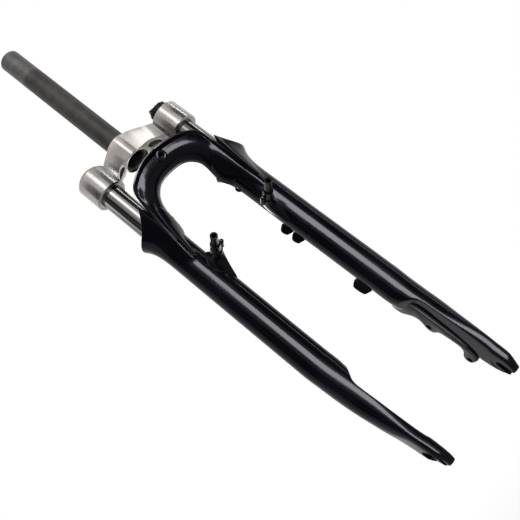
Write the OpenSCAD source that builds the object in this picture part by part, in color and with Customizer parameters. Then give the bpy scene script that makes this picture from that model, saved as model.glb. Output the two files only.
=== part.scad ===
// Telescopic fork for a bicycle with 28 inch wheels. Millimetres.
// The origin is the middle of the crown race seat, +Z runs up the steerer,
// -Y is the way the bicycle rides and +X is the rider's left, the disc side.

/* [Steerer] */
// Outside diameter of the steerer tube
steerer_d = 28.6; // [25.4:0.1:31.8]
// Wall of the steerer tube
steerer_wall = 1.7; // [1.2:0.1:3]
// Height of the steerer above the crown race seat
steerer_h = 200; // [120:5:300]
// How much wider than the steerer the crown race seat is, on each side
race_land = 0.7; // [0.3:0.1:1.5]
// Height of the crown race seat
race_h = 4; // [3:0.5:8]
// How much wider than the race seat the steerer's foot is, on each side, where it is pressed in
foot_step = 0.6; // [0.2:0.1:1]

/* [Crown] */
// Thickness of the crown at the steerer
crown_h = 32.5; // [28:0.5:40]
// Wall of the crown around the steerer
crown_wall = 2.6; // [2.4:0.1:6.5]
// Wall of the crown around each stanchion
socket_wall = 5.4; // [4:0.1:8]
// Drop of the sockets' top faces below the crown race seat
socket_drop = 25; // [20:0.5:32]
// Length of the stanchion sockets
socket_h = 33.6; // [28:0.2:45]
// Chamfer on the sockets' edges
socket_chamfer = 1.4; // [0.5:0.1:2.5]
// Depth of the relief round the steerer's lower end
relief_depth = 4; // [2:0.5:8]
// Gap round the steerer's lower end in that relief
relief_gap = 0.8; // [0.4:0.1:1.2]

/* [Stanchions] */
// Distance between the two stanchions
leg_spacing = 116; // [110:1:130]
// How far the stanchions stand ahead of the steerer
leg_lead = 22; // [18:0.5:26]
// Outside diameter of a stanchion
stanchion_d = 28.4; // [27:0.2:30]
// Wall of a stanchion
stanchion_wall = 2; // [1.6:0.1:2.6]
// Length of a stanchion that shows between socket and lower leg
stanchion_show = 74.5; // [68:0.5:90]
// Length of a stanchion inside its lower leg
stanchion_hidden = 117; // [110:1:135]
// Suspension travel
travel = 50; // [30:1:52]

/* [Lower legs] */
// Outside diameter of the straight part of a lower leg
leg_d = 35; // [34.6:0.1:40]
// Bore of a lower leg
leg_bore_d = 31.2; // [30.8:0.1:31.8]
// Axle height below the crown race seat
axle_drop = 482; // [470:1:500]
// How far the axle stands ahead of the steerer
rake = 38.5; // [34:0.5:44]
// Space for the hub between the two lower legs
hub_w = 100; // [98:1:106]
// Radius of the flared collar at the top of a lower leg
collar_r = 24.7; // [22:0.1:27]
// Floor of the bore above the axle
floor_rise = 137; // [125:1:150]
// Seat depth for the dust seal
seal_seat = 6; // [4:0.5:8]
// Radius of the dust seal seat
seal_seat_r = 18.5; // [17.5:0.1:20]

/* [Arch] */
// Height of the arch's top edge above the collars
arch_rise = 55.5; // [52:0.5:60]
// Lead of the arch's front lip ahead of the steerer
arch_front = 67; // [63:0.5:70]
// Front to back depth of the arch at its middle
arch_depth = 23.5; // [20:0.5:23.9]
// Height of the arch at its middle
arch_h = 22; // [18:0.5:25]
// How far the rounded inner band stands out
band_bulge = 8.2; // [4:0.2:10]
// Thickness of the arch's front lip
lip_t = 2.4; // [1.6:0.1:3.4]
// How far the lip stands out over the groove behind it
lip_reach = 4; // [2:0.1:5]
// Radius of the mudguard boss
guard_boss_r = 6.2; // [5:0.1:8]
// Diameter of the mudguard hole
guard_hole_d = 5.5; // [4:0.1:6.5]

/* [Dropouts] */
// Width of the axle slot
slot_w = 9; // [8.5:0.1:10.5]
// Radius of the shallow ring pressed round the inner side of the slot
ring_r = 9.5; // [8:0.5:11]
// Thickness left under the axle nut
nut_face_t = 8; // [6:0.5:10]
// Radius of the axle nut's recess
nut_recess_r = 11; // [9:0.5:12]

/* [Disc tab] */
// Thickness of the disc brake tab
tab_t = 8; // [6:0.5:10]
// Distance between the two disc brake holes
disc_pcd = 51; // [50:0.5:52]
// Diameter of the disc brake holes
disc_hole_d = 6.4; // [6:0.1:7]

/* [Brake posts] */
// Height of the brake posts above the axle
post_rise = 280.6; // [276:0.2:286]
// Distance between the two brake posts
post_spacing = 80; // [76:1:84]
// Diameter of a brake post
post_d = 8; // [7.5:0.1:9]
// Diameter of the shoulder behind a brake post
post_shoulder_d = 11; // [10:0.5:13]
// Lead of the brake posts' tips ahead of the steerer
post_tip = 86.5; // [82:0.5:92]
// Lead of the brake post's cast base ahead of the steerer
post_base = 54; // [52:0.5:58]
// Diameter of the thread in the tip of a brake post
post_thread_d = 5; // [4:0.5:6]

/* [Springs and guides] */
// Wire diameter of a main spring
wire_d = 2.6; // [2:0.1:3.2]
// Mean diameter of a main spring's turns
spring_d = 18; // [16:0.5:20]
// Turns of a main spring
spring_turns = 16; // [12:1:18]
// Diameter of the travel rod
rod_d = 10; // [8:0.5:12]
// Diameter of the travel rod's head
rod_head_d = 22; // [20:0.5:23]
// Height of the travel rod's head
rod_head_h = 8; // [5:0.5:12]
// Length of the guide pressed into a stanchion's lower end
guide_h = 10; // [8:0.5:16]
// Thickness of a top-out bumper
bumper_h = 6; // [4:0.5:10]
// Length of each bushing
bushing_h = 20; // [14:1:26]
// Gap between sliding pieces
slide_gap = 0.3; // [0.25:0.01:0.4]

/* [Top caps] */
// Height of the flange of a top cap above its socket
cap_h = 3; // [2:0.5:5]
// Rise of the right cap's dome above its flange
dome_h = 2.6; // [1:0.2:5]
// Length of a top cap's thread inside its stanchion
cap_thread = 12; // [9:0.5:16]
// Height of the preload knob
knob_h = 7; // [5:0.5:10]
// Radius of the preload knob
knob_r = 12.5; // [10:0.5:15]
// Height of the wing that the fingers turn
wing_h = 6; // [4:0.5:9]
// Diameter of the preload screw
screw_d = 8; // [6:0.5:10]
// Preload that the knob can add
preload = 5; // [3:0.5:6]

/* [Hidden] */
$fn = 96;
eps = 0.01;

steerer_r = steerer_d / 2;
land_r = steerer_r + race_land;
foot_r = land_r + foot_step;
boss_r = foot_r + crown_wall;
leg_x = leg_spacing / 2;
leg_y = -leg_lead;
stanchion_r = stanchion_d / 2;
stanchion_bore_r = stanchion_r - stanchion_wall;
socket_r = stanchion_r + socket_wall;
socket_top = -socket_drop;
socket_bottom = socket_top - socket_h;
collar_z = socket_bottom - stanchion_show + 2;
stanchion_bottom = collar_z - stanchion_hidden;
leg_r = leg_d / 2;
leg_bore_r = leg_bore_d / 2;
axle_z = -axle_drop;
axle_y = -rake;
hub_x = hub_w / 2;
floor_z = axle_z + floor_rise;
rod_r = rod_d / 2;
guide_top = stanchion_bottom + guide_h;
head_z = guide_top + bumper_h;
spring_low = head_z + rod_head_h;
seat_h = 8;
cap_bottom = socket_top - cap_thread;
seat_top = cap_bottom - preload - 3;
spring_high = seat_top - seat_h;
post_z = axle_z + post_rise;
post_x = post_spacing / 2;

// Value at z of a smooth curve through the rows [z, value], lowest z first
function slope(rows, i) = (i == 0 || i == len(rows) - 1) ? 0
    : (rows[i + 1][1] - rows[i - 1][1]) / (rows[i + 1][0] - rows[i - 1][0]);
function between(rows, i, z) =
    let (h = rows[i + 1][0] - rows[i][0], t = (z - rows[i][0]) / h)
    rows[i][1] * (1 + 2 * t) * pow(1 - t, 2) + rows[i + 1][1] * t * t * (3 - 2 * t)
    + h * slope(rows, i) * t * pow(1 - t, 2) - h * slope(rows, i + 1) * t * t * (1 - t);
function row_of(rows, z, i = 0) = (i >= len(rows) - 2 || z < rows[i + 1][0]) ? i : row_of(rows, z, i + 1);
function smooth(rows, z) = between(rows, row_of(rows, z), min(max(z, rows[0][0]), rows[len(rows) - 1][0]));
function ease(t) = let (c = min(max(t, 0), 1)) c * c * (3 - 2 * c);
function unit(v) = v / norm(v);

// Solid skin over a stack of rings with equal numbers of points, closed by fans at both ends
module loft(rings) {
    n = len(rings[0]);
    m = len(rings);
    low = sum_of(rings[0]) / n;
    high = sum_of(rings[m - 1]) / n;
    points = [for (r = rings) each r, low, high];
    sides = [for (k = [0:m - 2], i = [0:n - 1]) let (a = k * n + i, b = k * n + (i + 1) % n)
        each [[a, b + n, b], [a, a + n, b + n]]];
    ends = [for (i = [0:n - 1]) let (j = (i + 1) % n, top = (m - 1) * n)
        each [[m * n, i, j], [m * n + 1, top + j, top + i]]];
    polyhedron(points = points, faces = concat(sides, ends), convexity = 6);
}
function sum_of(v, i = 0) = i == len(v) - 1 ? v[i] : v[i] + sum_of(v, i + 1);

module at_leg(side) {
    translate([side * leg_x, leg_y, 0]) children();
}

module tube(outer, inner, low, high) {
    difference() {
        translate([0, 0, low]) cylinder(r = outer, h = high - low);
        translate([0, 0, low - 1]) cylinder(r = inner, h = high - low + 2);
    }
}

module steerer_tube() {
    low = -crown_h + relief_depth;
    bore_r = steerer_r - steerer_wall;
    color([0.30, 0.30, 0.30]) rotate_extrude() polygon([
        [bore_r, low], [foot_r, low], [foot_r, 0], [land_r, 0], [land_r, race_h - 0.5],
        [steerer_r, race_h], [steerer_r, steerer_h], [bore_r, steerer_h]
    ]);
}

// Crown: one casting with a boss for the steerer, two arms and two sockets
arm_front = [[0, -17.5], [12, -18.4], [22, -20.2], [32, -22.4], [40, -26.5], [50, -30]];
arm_back = [[0, 11.5], [15, 9.6], [32, -1], [44, -6.5], [50, -9.5]];
arm_top = [[0, -2.5], [12, -4], [18, -7.4], [30, -16.2], [37, -22.4], [40.5, -25.6], [58, -27]];
arm_low = [
    [0, -crown_h], [14, -crown_h - 0.4], [24, -crown_h - 2.8], [38, -crown_h - 12.6], [58, -crown_h - 17]
];

module arm_plan() {
    reach = leg_x - 8;
    steps = 24;
    front = [for (i = [0:steps]) let (x = reach * i / steps) [x, smooth(arm_front, x)]];
    back = [for (i = [steps:-1:0]) let (x = reach * i / steps) [x, smooth(arm_back, x)]];
    polygon(concat(front, back));
}

module arm_profile() {
    steps = 24;
    top = [for (i = [0:steps]) let (x = leg_x * i / steps) [x, smooth(arm_top, x)]];
    low = [for (i = [steps:-1:0]) let (x = leg_x * i / steps) [x, smooth(arm_low, x)]];
    polygon(concat(top, low));
}

module crown_arm() {
    intersection() {
        translate([0, 0, -80]) linear_extrude(80) arm_plan();
        translate([0, 40, 0]) rotate([90, 0, 0]) linear_extrude(100) arm_profile();
    }
}

module socket() {
    c = socket_chamfer;
    rotate_extrude() polygon([
        [0, socket_bottom], [socket_r - c, socket_bottom], [socket_r, socket_bottom + c],
        [socket_r, socket_top - c], [socket_r - c, socket_top], [0, socket_top]
    ]);
}

module boss() {
    rotate_extrude() polygon([
        [0, -crown_h], [boss_r - 1, -crown_h], [boss_r, -crown_h + 1], [boss_r, -1], [boss_r - 1, 0], [0, 0]
    ]);
}

module crown() {
    color([0.80, 0.78, 0.75]) difference() {
        union() {
            boss();
            crown_arm();
            mirror([1, 0, 0]) crown_arm();
            for (side = [-1, 1]) at_leg(side) socket();
        }
        translate([0, 0, -crown_h - 20]) cylinder(r = foot_r, h = crown_h + 40);
        translate([0, 0, -crown_h - 20]) cylinder(r = foot_r + relief_gap, h = relief_depth + 20);
        for (side = [-1, 1]) at_leg(side)
            translate([0, 0, socket_bottom - 20]) cylinder(r = stanchion_r, h = 80);
        for (side = [-1, 1]) casting_pocket(side);
    }
}

// Shallow pocket that lightens the underside of each arm
module casting_pocket(side) {
    for (x = [24, 30]) translate([side * x, -10 - (x - 24) * 0.4, -70]) cylinder(r = 4.6, h = 38);
    translate([side * 27, -11.2, -51]) rotate([0, 0, side * -21.8]) cube([6.4, 9.2, 38], center = true);
}

module stanchion(side) {
    color([0.86, 0.86, 0.87]) at_leg(side)
        tube(stanchion_r, stanchion_bore_r, stanchion_bottom, socket_top);
}

// Lower casting: two legs joined by an arch. A leg's outline is given by rows of height and size
ridge_low = collar_z - 57;
rim_lift = 22.6;
rim_out = 13;
front_rows = [
    [-13, rake + 11], [-9, rake + 13], [-3, rake + 15], [3, rake + 15.6], [20, rake + 14.2],
    [37, rake + 12.3], [57, rake + 9.3], [77, rake + 6.8], [97, rake + 4.2],
    [117, leg_lead + leg_r + 0.5], [137, leg_lead + leg_r]
];
back_rows = [
    [-13, rake - 6.6], [-5, rake - 12], [3, rake - 16], [20, rake - 19.5], [37, rake - 21.8], [57, rake - 25],
    [77, rake - 28.8], [97, rake - 33], [117, leg_lead - leg_r + 1], [137, leg_lead - leg_r]
];
outer_rows = [
    [-13, hub_x + 9.6], [3, hub_x + 14.6], [20, hub_x + 16.4], [37, hub_x + 17.8], [57, hub_x + 20.2],
    [77, hub_x + 22.5], [97, leg_x + leg_r - 1.8], [117, leg_x + leg_r - 0.9], [137, leg_x + leg_r]
];
inner_rows = [
    [-13, hub_x], [13, hub_x], [14, hub_x], [20, hub_x + 1.2], [37, hub_x + 2.2], [71, hub_x + 3.1],
    [92, hub_x + 3.3],
    [99, hub_x + 1.5], [106, hub_x - 4], [113, leg_x - leg_r + 0.5], [137, leg_x - leg_r]
];
outer_flat_rows = [[-13, hub_x + 9.2], [0, hub_x + 12], [30, hub_x + 15], [60, hub_x + 25], [137, hub_x + 30]];

// One level ring of a leg below the collar, h above the axle
function leg_ring(h, n) =
    let (f = -smooth(front_rows, h), b = -smooth(back_rows, h))
    let (o = smooth(outer_rows, h), i = smooth(inner_rows, h))
    let (round_up = ease((h - 25) / 60))
    let (cx = (o - min((b - f) / 2, leg_r)) * round_up + (o + i) / 2 * (1 - round_up))
    let (rx_in = max(cx - i, (b - f) / 2.2), rx_out = o - cx, cy = (f + b) / 2, ry = (b - f) / 2)
    [for (k = [0:n - 1]) let (a = 360 * k / n, x = cx + (cos(a) > 0 ? rx_out : rx_in) * cos(a))
        [min(max(x, i), smooth(outer_flat_rows, h)), cy + ry * sin(a), axle_z + h]];

// Angle from straight ahead, positive outboard, of point k of n that starts outboard
function from_front(k, n) = let (a = 360 * k / n + 90) a > 180 ? a - 360 : a;
function rim_height(p) = p >= 0 ? rim_lift * exp(-p / 22) : rim_lift * exp(p / 11);
function rim_radius(p) = collar_r + rim_out * exp(-abs(p) / (p >= 0 ? 25 : 10));

// One ring of the flared collar, u from 0 at its foot to 1 at its rim
function collar_ring(u, n) = [for (k = [0:n - 1])
    let (p = from_front(k, n), w = ease(abs(p) / 70), rise = 0.75 * (1 - w) + 5 * w)
    let (r = leg_r + (rim_radius(p) - leg_r) * pow(u, rise))
    let (z = ridge_low + (collar_z + rim_height(p) - ridge_low) * u)
    [leg_x + r * sin(p), leg_y - r * cos(p), z]];
function seat_ring(r, z, n) =
    [for (k = [0:n - 1]) let (p = from_front(k, n)) [leg_x + r * sin(p), leg_y - r * cos(p), z]];

module leg_skin() {
    n = 36;
    low = [for (h = [-13, -11, -8, -4, 3, 12, 24, 36, 48, 60, 72, 84, 94, 98, 102, 106, 111, 119, 128, 137])
        leg_ring(h, n)];
    top = [for (u = [0, 0.12, 0.27, 0.42, 0.56, 0.68, 0.78, 0.86, 0.93, 0.98, 1]) collar_ring(u, n)];
    loft(concat(low, top, [seat_ring(seal_seat_r + 2, collar_z + 1, n)]));
}

// Arch stations from the middle to the root: front lip, lower back edge, upper back edge
arch_z = collar_z + arch_rise;
arch_back = -arch_front + arch_depth;
stations = [
    [[0, -arch_front, arch_z], [0, arch_back + 1.2, arch_z - arch_h], [0, arch_back, arch_z - 4]],
    [[13, -arch_front - 0.6, arch_z - 1.3], [11.5, arch_back + 0.8, arch_z - arch_h - 1],
     [12.3, arch_back, arch_z - 5.6]],
    [[25, -arch_front - 1.2, arch_z - 4.8], [20.5, arch_back + 1.4, arch_z - arch_h - 4.2],
     [23, arch_back, arch_z - 9.4]],
    [[35, -arch_front - 1.2, arch_z - 9.2], [27.2, arch_back + 3.8, arch_z - arch_h - 9.4],
     [31, arch_back + 0.5, arch_z - 15]],
    [[43.5, -arch_front + 0.6, arch_z - 13.9], [31, arch_back + 6.4, arch_z - arch_h - 14.6],
     [36.6, arch_back + 1, arch_z - 22]],
    [[48.8, -arch_front + 3.4, arch_z - 18.4], [32.8, arch_back + 10.4, arch_z - arch_h - 20],
     [39.4, arch_back + 1.8, arch_z - 30]],
    [[51.8, -arch_front + 6.4, arch_z - 25], [33.4, arch_back + 15.4, arch_z - arch_h - 27],
     [41.2, arch_back + 3.6, arch_z - 38]],
    [[53.5, -arch_front + 8.8, arch_z - 34], [33.6, arch_back + 19.4, arch_z - arch_h - 34],
     [43, arch_back + 6.5, arch_z - 46]],
    [[55.1, -arch_front + 11.2, arch_z - 45], [34.8, arch_back + 21.2, arch_z - arch_h - 43],
     [45.4, arch_back + 9.5, arch_z - 56]],
    [[57, -arch_front + 14.8, arch_z - 59], [38, arch_back + 20, arch_z - arch_h - 52],
     [48.4, arch_back + 11.5, arch_z - 68]],
    [[58.6, -arch_front + 18.2, arch_z - 79], [45, arch_back + 16, arch_z - arch_h - 64],
     [52, arch_back + 14, arch_z - 84]],
    [[59.4, -arch_front + 23.5, arch_z - 104], [51, arch_back + 11.5, arch_z - 106],
     [55, arch_back + 15, arch_z - 108]],
    [[59.8, -arch_front + 33, arch_z - 124], [51, arch_back + 15, arch_z - 121],
     [58, arch_back + 21, arch_z - 120]]
];
// Rounded band between the groove and the opening: share of the way, share of the bulge
band_rows = [
    [0, 0.2], [0.07, 0.5], [0.16, 0.77], [0.28, 0.94], [0.41, 1], [0.55, 0.96], [0.68, 0.81], [0.8, 0.57],
    [0.9, 0.31], [0.97, 0.1]
];

// Front outline of the arch's section as [from lip to opening, outwards]. The back edge is at [back_a, -back_o]
function front_outline(d, back_a, back_o, swell) =
    let (q = min(1, d / 30), ahead = [back_a, -back_o] / norm([back_a, back_o]), below = [-ahead[1], ahead[0]])
    let (tip = below * lip_t * q, groove = tip + ahead * lip_reach * q, start = groove[0] + 0.9 * q)
    concat(
        [[0, 0], tip * 0.5 - ahead * 0.5 * q, tip, tip + ahead * q, groove],
        [for (p = band_rows) [start + (d - start) * p[0], band_bulge * swell * p[1]]],
        [[d, -0.6]]
    );

function arch_ring(lip, low, back, swell) =
    let (d = norm(low - lip), along = unit(low - lip), from_lip = back - lip, back_a = from_lip * along)
    let (inward = from_lip - along * back_a, out = -unit(inward))
    concat(
        [for (p = front_outline(d, back_a, norm(inward), swell)) lip + along * p[0] + out * p[1]],
        [for (t = [0.25, 0.5, 0.75]) low * (1 - t) + back * t + (along * 0.8 - out * 1.2) * sin(180 * t)],
        [back],
        [for (t = [0.2, 0.4, 0.6, 0.8]) back * (1 - t) + lip * t - out * 1.6 * sin(180 * t)]
    );

function station_at(t, j) =
    let (rows = [for (i = [0:len(stations) - 1]) i])
    [for (c = [0:2]) smooth([for (i = rows) [i, stations[i][j][c]]], t)];

module arch_skin() {
    last = len(stations) - 1;
    step = 0.5;
    half = [for (t = [0:step:last])
        arch_ring(station_at(t, 0), station_at(t, 1), station_at(t, 2), 1 - 0.55 * ease((t - 4) / 5))];
    m = len(half);
    flip = [for (k = [m - 1:-1:1]) [for (p = half[k]) [-p[0], p[1], p[2]]]];
    loft(concat(flip, half));
}

// Cast base of a brake post, from the leg to the face behind the post
module post_base_skin() {
    n = 20;
    rings = [
        for (t = [0, 0.25, 0.5, 0.75, 1])
            let (foot = pow(1 - t, 2), y = -leg_lead - 8 - (post_base - leg_lead - 8) * t)
            [for (k = [0:n - 1]) let (a = 360 * k / n)
                [post_x + 5.5 * foot + (6.5 + 1.5 * foot) * cos(a), y,
                 post_z - 7 * foot + (7 + 17 * foot) * sin(a)]]
    ];
    loft(rings);
}

// Everything of the casting's skin on one side
module half_skin() {
    leg_skin();
    post_base_skin();
    spring_ear();
}

// The casting's outer skin as one faceted body, before anything round is bored in it
module casting_skin() {
    $fn = 24;
    resize([0, 0, 0]) difference() {
        union() {
            half_skin();
            mirror([1, 0, 0]) half_skin();
            arch_skin();
            side_plate(tab_outline, hub_x, tab_t);
            hose_guides();
            collar_nub();
            guard_axis() translate([0, 0, -12]) cylinder(r = guard_boss_r, h = 12);
        }
        for (side = [-1, 1]) slot_relief(side);
    }
}

// Disc brake tab, a flat web behind the left dropout, drawn from the side as [back of axle, above axle]
tab_outline = [
    [44.5, 117], [45.5, 104], [40, 98], [33.9, 93], [30.8, 88], [30.1, 82.5], [32.5, 78], [35, 74.5],
    [36.2, 71], [35.6, 66.5], [32, 63.4], [26, 61.6], [23.5, 56], [22.5, 48], [21.3, 39], [23, 34],
    [27, 30.8], [34.5, 28.6], [38.5, 25.6], [39.9, 22], [38.8, 18.6], [35.5, 16.4], [17.5, 15], [12, 30],
    [12, 110], [20, 125]
];

// Centre of the two disc brake holes, [back of axle, above axle]
disc_mid = [31.3, 46.5];
disc_tilt = -4.3;

module side_plate(outline, x, t) {
    translate([x + t, axle_y, axle_z]) rotate([90, 0, -90]) linear_extrude(t) mirror([1, 0]) polygon(outline);
}

module hose_guides() {
    for (z = [-227.5, -243.5]) guide_ear(z, 13, 9.5);
    guide_ear(-331, 19, 10);
}

// A hose guide stands on the back inner side of the left leg
module guide_ear(z, length, reach) {
    at_leg(1) rotate([0, 0, 140]) translate([leg_r - 2, -3, z]) rotate([-90, 0, 0]) linear_extrude(6)
        polygon([
            [0, -length / 2 - 3], [reach - 1, -length / 2 + 0.6], [reach + 1.2, -length / 2 + 3],
            [reach + 2, length / 2 - 4], [reach, length / 2 - 1], [0, length / 2 + 2]
        ]);
}

// Rounded nub low on the back of the left collar
module collar_nub() {
    at_leg(1) translate([-leg_r + 0.5, 2, collar_z - 27]) rotate([0, -25, 0]) resize([7, 6, 9]) sphere(d = 8);
}

// Ear beside each brake post that anchors the brake's return spring
module spring_ear() {
    reach = post_tip - 22.5;
    translate([post_x - 8, -post_base + 2, post_z]) rotate([90, 0, 0])
        cylinder(r = 2.6, h = reach - post_base + 2);
    translate([post_x - 4, -post_base + 0.5, post_z]) cube([8, 5, 5.2], center = true);
}

module guard_axis() {
    translate([0, -arch_front + 0.6, arch_z - 12.5]) rotate([120, 0, 0]) children();
}

module post_axis(side) {
    translate([side * post_x, -post_base, post_z]) rotate([90, 0, 0]) children();
}

// Draws what stands on the left, or its mirror image on the right
module on_side(side) {
    if (side > 0) children();
    else mirror([1, 0, 0]) children();
}

module axle_slot(side) {
    on_side(side) translate([hub_x - 20, axle_y, axle_z]) rotate([0, 90, 0]) linear_extrude(50)
        union() {
            circle(d = slot_w);
            translate([0, -slot_w / 2]) square([30, slot_w]);
        }
}

// Recess for the axle nut outside and a shallow pressed ring inside each dropout
module slot_relief(side) {
    on_side(side) translate([hub_x + nut_face_t, axle_y, axle_z]) rotate([0, 90, 0]) {
        cylinder(r = nut_recess_r, h = 20);
        translate([0, -nut_recess_r, 0]) cube([30, nut_recess_r * 2, 20]);
    }
    on_side(side) translate([hub_x - 1, axle_y, axle_z]) rotate([0, 90, 0]) cylinder(r = ring_r, h = 1.6);
}

module leg_bore(side) {
    at_leg(side) {
        translate([0, 0, floor_z]) cylinder(r = leg_bore_r, h = 300);
        translate([0, 0, collar_z - seal_seat]) cylinder(r = seal_seat_r, h = 100);
        translate([0, 0, floor_z - 20]) cylinder(r = rod_r, h = 30);
    }
}

module lower_casting() {
    color([0.07, 0.07, 0.09]) difference() {
        casting_skin();
        for (side = [-1, 1]) leg_bore(side);
        for (side = [-1, 1]) axle_slot(side);
        for (side = [-1, 1]) post_axis(side) translate([0, 0, -14]) cylinder(d = post_d, h = 15);
        for (end = [-1, 1]) disc_hole(end);
        guard_axis() translate([0, 0, -40]) cylinder(d = guard_hole_d, h = 80);
    }
}

module disc_hole(end) {
    across = disc_mid + end * disc_pcd / 2 * [sin(disc_tilt), cos(disc_tilt)];
    translate([hub_x - 10, axle_y + across[0], axle_z + across[1]]) rotate([0, 90, 0])
        cylinder(d = disc_hole_d, h = 30);
}

module brake_post(side) {
    shoulder = post_tip - 18.5 - post_base;
    color([0.16, 0.16, 0.17]) post_axis(side) difference() {
        union() {
            translate([0, 0, -14]) cylinder(d = post_d, h = 14 + post_tip - post_base);
            cylinder(d = post_shoulder_d, h = shoulder);
        }
        translate([0, 0, post_tip - post_base - 16]) cylinder(d = post_thread_d, h = 20);
    }
}

module dust_seal(side) {
    inner = stanchion_r + slide_gap;
    low = collar_z - seal_seat;
    color([0.05, 0.05, 0.05]) at_leg(side) rotate_extrude() polygon([
        [inner, low], [seal_seat_r, low], [seal_seat_r, collar_z + 1], [seal_seat_r - 1, collar_z + 2.4],
        [inner + 2.2, collar_z + 3.4], [inner + 1, collar_z + 7.5], [inner, collar_z + 7.5]
    ]);
}

module bushing(side, top) {
    color([0.55, 0.52, 0.42]) at_leg(side) tube(leg_bore_r, stanchion_r + slide_gap, top - bushing_h, top);
}

module end_guide(side) {
    color([0.90, 0.90, 0.86]) at_leg(side)
        tube(stanchion_bore_r, rod_r + slide_gap, stanchion_bottom, guide_top);
}

module travel_rod(side) {
    color([0.62, 0.62, 0.64]) at_leg(side) difference() {
        union() {
            translate([0, 0, floor_z - 20]) cylinder(r = rod_r, h = head_z - floor_z + 20 + eps);
            translate([0, 0, head_z]) cylinder(d = rod_head_d, h = rod_head_h);
        }
        translate([0, 0, head_z + 1]) cylinder(d = 8, h = rod_head_h, $fn = 6);
    }
}

module top_out_bumper(side) {
    color([0.85, 0.55, 0.20]) at_leg(side) tube(rod_head_d / 2 - 1, rod_r, guide_top + slide_gap, head_z);
}

module bottom_bumper(side) {
    color([0.85, 0.55, 0.20]) at_leg(side)
        tube(leg_bore_r - 2, rod_r, floor_z, stanchion_bottom - travel - 1.5);
}

// Round wire wound into a spring, with closed turns at both ends
module main_spring(side) {
    turns = spring_turns;
    per_turn = 10;
    sides = 5;
    wire_r = wire_d / 2;
    low = spring_low + wire_r;
    high = spring_high - wire_r;
    closed = 1.25;
    rise = high - low - 2 * closed * wire_d;
    rings = [
        for (i = [0:turns * per_turn])
            let (t = i / per_turn, a = 360 * t, open = min(max(t - closed, 0), turns - 2 * closed))
            let (coiled = min(t, closed) + max(t - turns + closed, 0))
            let (z = low + wire_d * coiled + rise * open / (turns - 2 * closed))
            [for (k = [0:sides - 1]) let (b = 360 * k / sides, r = spring_d / 2 + wire_r * cos(b))
                [r * cos(a), r * sin(a), z + wire_r * sin(b)]]
    ];
    color([0.70, 0.70, 0.72]) at_leg(side) loft([for (i = [len(rings) - 1:-1:0]) rings[i]]);
}

module spring_seat(side) {
    bore_r = screw_d / 2 + slide_gap;
    color([0.20, 0.20, 0.22]) at_leg(side) difference() {
        translate([0, 0, spring_high]) cylinder(r = stanchion_bore_r - 0.4, h = seat_h);
        translate([0, 0, spring_high - 1]) cylinder(r = bore_r, h = seat_h + 2);
    }
}

// Cap screwed into a stanchion. The left one is flat and carries the knob, the right one is a low dome
module top_cap(side) {
    bore_r = screw_d / 2 + slide_gap;
    rim = socket_r - socket_chamfer - 1;
    dome = side < 0 ? dome_h : 0.01;
    color([0.10, 0.10, 0.11]) at_leg(side) difference() {
        union() {
            translate([0, 0, cap_bottom]) cylinder(r = stanchion_bore_r, h = cap_thread + eps);
            rotate_extrude() polygon([
                [0, socket_top], [rim, socket_top], [rim, socket_top + 1.4], [rim - 2, socket_top + cap_h],
                [rim * 0.6, socket_top + cap_h + dome * 0.6], [rim * 0.3, socket_top + cap_h + dome * 0.92],
                [0, socket_top + cap_h + dome]
            ]);
        }
        if (side > 0) translate([0, 0, cap_bottom - 1]) cylinder(r = bore_r, h = 40);
    }
}

module preload_knob() {
    low = socket_top + cap_h + 0.3;
    color([0.12, 0.12, 0.13]) at_leg(1) {
        difference() {
            translate([0, 0, low]) cylinder(r = knob_r, h = knob_h);
            for (i = [0:11]) rotate([0, 0, i * 30])
                translate([knob_r + 1.4, 0, low - 1]) cylinder(r = 2.2, h = knob_h + 2);
        }
        translate([-knob_r + 3.5, -2.5, low + knob_h - eps]) cube([2 * knob_r - 7, 5, wing_h]);
        translate([0, 0, spring_high + 1]) cylinder(d = screw_d, h = low - spring_high - 1 + eps);
    }
}

steerer_tube();
crown();
stanchion(1);  // stanchion_left
stanchion(-1);  // stanchion_right
lower_casting();
brake_post(1);  // brake_post_left
brake_post(-1);  // brake_post_right
dust_seal(1);  // dust_seal_left
dust_seal(-1);  // dust_seal_right
bushing(1, collar_z - seal_seat - 2);  // upper_bushing_left
bushing(-1, collar_z - seal_seat - 2);  // upper_bushing_right
bushing(1, stanchion_bottom + bushing_h + 14);  // lower_bushing_left
bushing(-1, stanchion_bottom + bushing_h + 14);  // lower_bushing_right
end_guide(1);  // end_guide_left
end_guide(-1);  // end_guide_right
travel_rod(1);  // travel_rod_left
travel_rod(-1);  // travel_rod_right
top_out_bumper(1);  // top_out_bumper_left
top_out_bumper(-1);  // top_out_bumper_right
bottom_bumper(1);  // bottom_bumper_left
bottom_bumper(-1);  // bottom_bumper_right
main_spring(1);  // main_spring_left
main_spring(-1);  // main_spring_right
spring_seat(1);  // spring_seat_left
spring_seat(-1);  // spring_seat_right
top_cap(1);  // top_cap_left
top_cap(-1);  // top_cap_right
preload_knob();
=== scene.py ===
# %% [markdown]
# # A suspension fork, from bare solids to a studio picture
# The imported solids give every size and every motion. This lesson gives them their looks: a smooth
# skin for the cast lower legs, softened edges on the crown and caps, and a finish for each piece.
# Everything is in metres and stands where the solids stand.

# %% Load the fixed frame
import math

import bpy
import numpy as np
from mathutils import Matrix, Vector


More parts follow.
